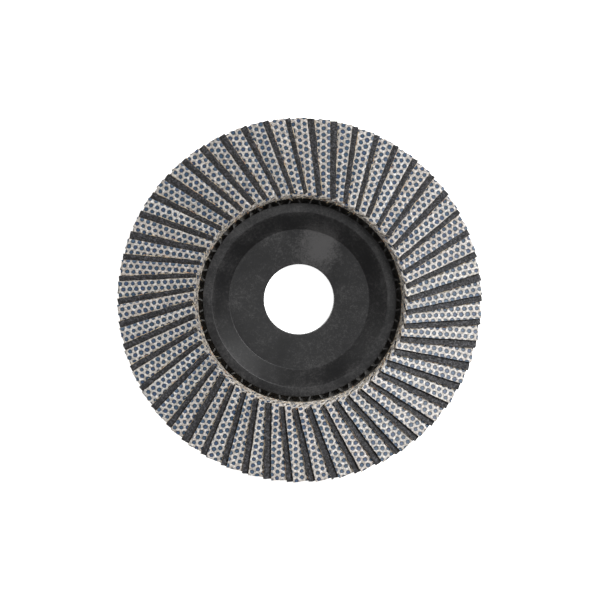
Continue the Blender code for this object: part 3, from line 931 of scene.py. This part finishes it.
def mouldedNylon():
    # Moulded glass-filled nylon, black: satin, with a fine spark-eroded texture, mottled paler in places
    # partly by residue and partly as painted highlight; a pale patch on the recess floor and the paler lip
    # top are painted highlights
    material, tree, shader = newMaterial("mouldedGlassFilledNylon", {"IOR": 1.53, "Specular IOR Level": 0.34})
    place = objectPlace(tree)
    # grain of 0.4 and 0.9 mm, drawn coarser than the real 0.1 mm
    fine = addNode(tree, "TexNoise", inputs={"Vector": (place, "Vector"), "Scale": 2.6, "Detail": 4.0,
                                             "Roughness": 0.7})
    coarse = addNode(tree, "TexNoise", inputs={"Vector": (place, "Vector"), "Scale": 1.1, "Detail": 2.0})
    cloud = addNode(tree, "TexNoise", inputs={"Vector": (place, "Vector"), "Scale": 0.13, "Detail": 4.0})
    # painted highlight: a pale patch on the recess floor round this point, where the key softbox's reflection
    # lies
    floorHighlightDistance = addNode(tree, "VectorMath", {"operation": "DISTANCE"},
                    {0: (place, "Vector"), 1: (6.0, 17.0, 4.0)})
    near = addNode(tree, "MapRange", {"interpolation_type": "SMOOTHSTEP"},
                   {"Value": (floorHighlightDistance, "Value"), "From Min": 11.0, "From Max": 1.0, "To Max": 0.75})
    # painted highlight: the plate is drawn paler from 6.8 mm up to the lip's top at 8.4 mm, where it faces
    # the light
    level = addNode(tree, "SeparateXYZ", inputs={0: (place, "Vector")})
    lipTopHighlight = addNode(tree, "MapRange", {"interpolation_type": "SMOOTHSTEP"},
                     {"Value": (level, "Z"), "From Min": 6.8, "From Max": 8.4, "To Max": 0.16})
    pale = addNode(tree, "Math", {"operation": "ADD"}, {0: (near, "Result"), 1: (lipTopHighlight, "Result")})
    # the cloud's paler mottling is partly residue on the moulding and partly painted highlight; the painted
    # patch and lip top are added to it
    mottleAndPaintedHighlights = addNode(tree, "Math", {"operation": "MULTIPLY_ADD"},
                   {0: (cloud, "Fac"), 1: 0.8, 2: (pale, "Value")})
    grain = addNode(tree, "Math", {"operation": "MULTIPLY_ADD"},
                    {0: (coarse, "Fac"), 1: 0.8, 2: (mottleAndPaintedHighlights, "Value")})
    mottled = addNode(tree, "Math", {"operation": "MULTIPLY_ADD"},
                      {0: (fine, "Fac"), 1: 1.5, 2: (grain, "Value")})
    share = addNode(tree, "MapRange", inputs={"Value": (mottled, "Value"), "From Min": 1.10,
                                              "From Max": 2.20})
    ramp = setStops(addNode(tree, "ValToRGB", inputs={"Fac": (share, "Result")}),
                    [(0.0, "#040405"), (0.45, "#0a0a0b"), (1.0, "#363535")])
    tree.links.new(ramp.outputs["Color"], shader.inputs["Base Color"])
    roughness = addNode(tree, "MapRange", inputs={"Value": (cloud, "Fac"), "From Min": 0.3, "From Max": 0.7,
                                                  "To Min": 0.40, "To Max": 0.54})
    tree.links.new(roughness.outputs["Result"], shader.inputs["Roughness"])
    bump = addNode(tree, "Bump", inputs={"Height": (grain, "Value"), "Strength": 0.35, "Distance": 0.04 * mm})
    tree.links.new(bump.outputs["Normal"], shader.inputs["Normal"])
    return material


def ribNylonPaintedLighter():
    # The same nylon on the ribs, drawn paler and duller than the plate: painted light, so that the ribs in
    # the deep, shaded gap show nearly as light as the lip
    material, tree, shader = newMaterial("glassFilledNylonPaintedLighter", {"IOR": 1.53, "Specular IOR Level": 0.5,
                                                                    "Roughness": 0.48})
    ribMottle = addNode(tree, "TexNoise", inputs={"Vector": (objectPlace(tree), "Vector"), "Scale": 2.0,
                                               "Detail": 4.0})
    # painted light: greys well above the plate's near black
    ramp = setStops(addNode(tree, "ValToRGB", inputs={"Fac": (ribMottle, "Fac")}),
                    [(0.35, "#262625"), (0.65, "#3e3d3b")])
    tree.links.new(ramp.outputs["Color"], shader.inputs["Base Color"])
    bump = addNode(tree, "Bump", inputs={"Height": (ribMottle, "Fac"), "Strength": 0.3, "Distance": 0.05 * mm})
    tree.links.new(bump.outputs["Normal"], shader.inputs["Normal"])
    return material


# adhesive bed

adhesive = {
    "inner": 0.05 * mm,       # from the lip's outer wall
    "level": 0.35 * mm,       # fill above the trench floor
    "meniscus": 0.30 * mm,    # climb at a wall
    "reach": 0.42 * mm,       # how far from the wall the climb fades
    "longSwell": math.radians(5),    # spacing round the ring of its slow and quick unevenness
    "shortSwell": math.radians(1.7),
    "longHeight": 0.10 * mm,
    "shortHeight": 0.04 * mm,
    "angles": 900,
    "rings": 22,              # over fineRun; beyond it the bed is under the flaps and plain
    "fineRun": 4.2 * mm,
    "plainRun": 6.5 * mm,
    "rimGap": 2.9 * mm,       # from the bed's outer edge to the trench's
}


def makeAdhesive(material):
    # a poured ring whose surface climbs the ribs and the lip; the plain part is under the flaps
    rng = np.random.default_rng(77)
    inner = lipOuter + adhesive["inner"]
    radii = np.concatenate([np.linspace(inner, inner + adhesive["fineRun"], adhesive["rings"]),
                            [inner + adhesive["plainRun"], trenchRadius - adhesive["rimGap"]]])
    angles = np.arange(adhesive["angles"]) * math.tau / adhesive["angles"]
    radius, angle = np.meshgrid(radii, angles, indexing="ij")
    x, y = polar(radius, angle)
    nearest = np.full(x.shape, 1.0)
    for a, b in zigzagLegs():
        way = b - a
        share = np.clip(((x - a[0]) * way[0] + (y - a[1]) * way[1]) / (way @ way), 0, 1)
        nearest = np.minimum(nearest, np.hypot(x - a[0] - share * way[0], y - a[1] - share * way[1]))
    nearest = np.maximum(0, nearest - plate["ribThickness"] / 2)
    climb = np.exp(-nearest / adhesive["reach"]) + np.exp(-(radius - lipOuter) / adhesive["reach"])
    swell = wander(rng, angles, adhesive["longSwell"], adhesive["longHeight"])
    swell = (swell + wander(rng, angles, adhesive["shortSwell"], adhesive["shortHeight"]))[None, :]
    height = trenchFloor + adhesive["level"] + adhesive["meniscus"] * np.minimum(climb, 1.2) + swell
    height = np.minimum(height, flangeTop - 0.05 * mm)
    top = np.stack([x, y, height], axis=-1).reshape(-1, 3)
    base = top.copy()
    base[:, 2] = trenchFloor + 0.05 * mm
    points = np.concatenate([top, base])
    nRings, nAngles = x.shape
    index = np.arange(nRings * nAngles).reshape(nRings, nAngles)
    after = np.roll(index, -1, axis=1)
    upper = np.stack([index[:-1], index[1:], after[1:], after[:-1]], axis=-1).reshape(-1, 4)
    below = nRings * nAngles
    lower = upper[:, ::-1] + below
    innerWall = np.stack([index[0], after[0], after[0] + below, index[0] + below], axis=-1)
    outerWall = np.stack([after[-1], index[-1], index[-1] + below, after[-1] + below], axis=-1)
    faces = np.concatenate([upper, lower, innerWall, outerWall]).tolist()
    piece = addPiece("adhesiveBed", points, faces, [material], sharp=50)
    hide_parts("adhesive_bed")
    print("adhesive bed", len(faces), "faces")


def curedEpoxy():
    # Two-part epoxy, black and cured glossy, with grinding dust dulling it in places; its colour is drawn mid
    # grey, far paler than black, as painted light in the deep, shaded gap
    material, tree, shader = newMaterial("curedBlackEpoxy", {"IOR": 1.55, "Specular IOR Level": 0.35})
    place = objectPlace(tree)
    dust = addNode(tree, "TexNoise", inputs={"Vector": (place, "Vector"), "Scale": 0.8, "Detail": 4.0})
    # painted light: these greys lighten the black epoxy in the shaded gap; the noise's spread between them is
    # dust
    ramp = setStops(addNode(tree, "ValToRGB", inputs={"Fac": (dust, "Fac")}),
                    [(0.38, "#454443"), (0.55, "#585653"), (0.75, "#716e69")])
    tree.links.new(ramp.outputs["Color"], shader.inputs["Base Color"])
    roughness = addNode(tree, "MapRange", inputs={"Value": (dust, "Fac"), "From Min": 0.35, "From Max": 0.7,
                                                  "To Min": 0.50, "To Max": 0.75})
    tree.links.new(roughness.outputs["Result"], shader.inputs["Roughness"])
    ripple = addNode(tree, "TexNoise", inputs={"Vector": (place, "Vector"), "Scale": 1.3, "Detail": 2.0})
    bump = addNode(tree, "Bump", inputs={"Height": (ripple, "Fac"), "Strength": 0.25, "Distance": 0.08 * mm})
    tree.links.new(bump.outputs["Normal"], shader.inputs["Normal"])
    return material


# build

bpy.context.scene.view_settings.view_transform = "Standard"
makeCamera()
makeLights()
makeFloor()
cream = thread("undyedYarn", "#dccfb4", "#a08a6a")
orange = thread("orangeYarn", "#bd8a5e", "#8a6345")
makeDottedFlaps([dottedCoat(), backingCloth("tanPolyesterCloth", "#b9a88c", "#8c7a60"), cream, orange])
makeSpacers([spacerCoat(), backingCloth("creamPolyesterCloth", "#c7b89c", "#94836a"), cream, orange])
makePlate([mouldedNylon(), ribNylonPaintedLighter()])
makeAdhesive(curedEpoxy())
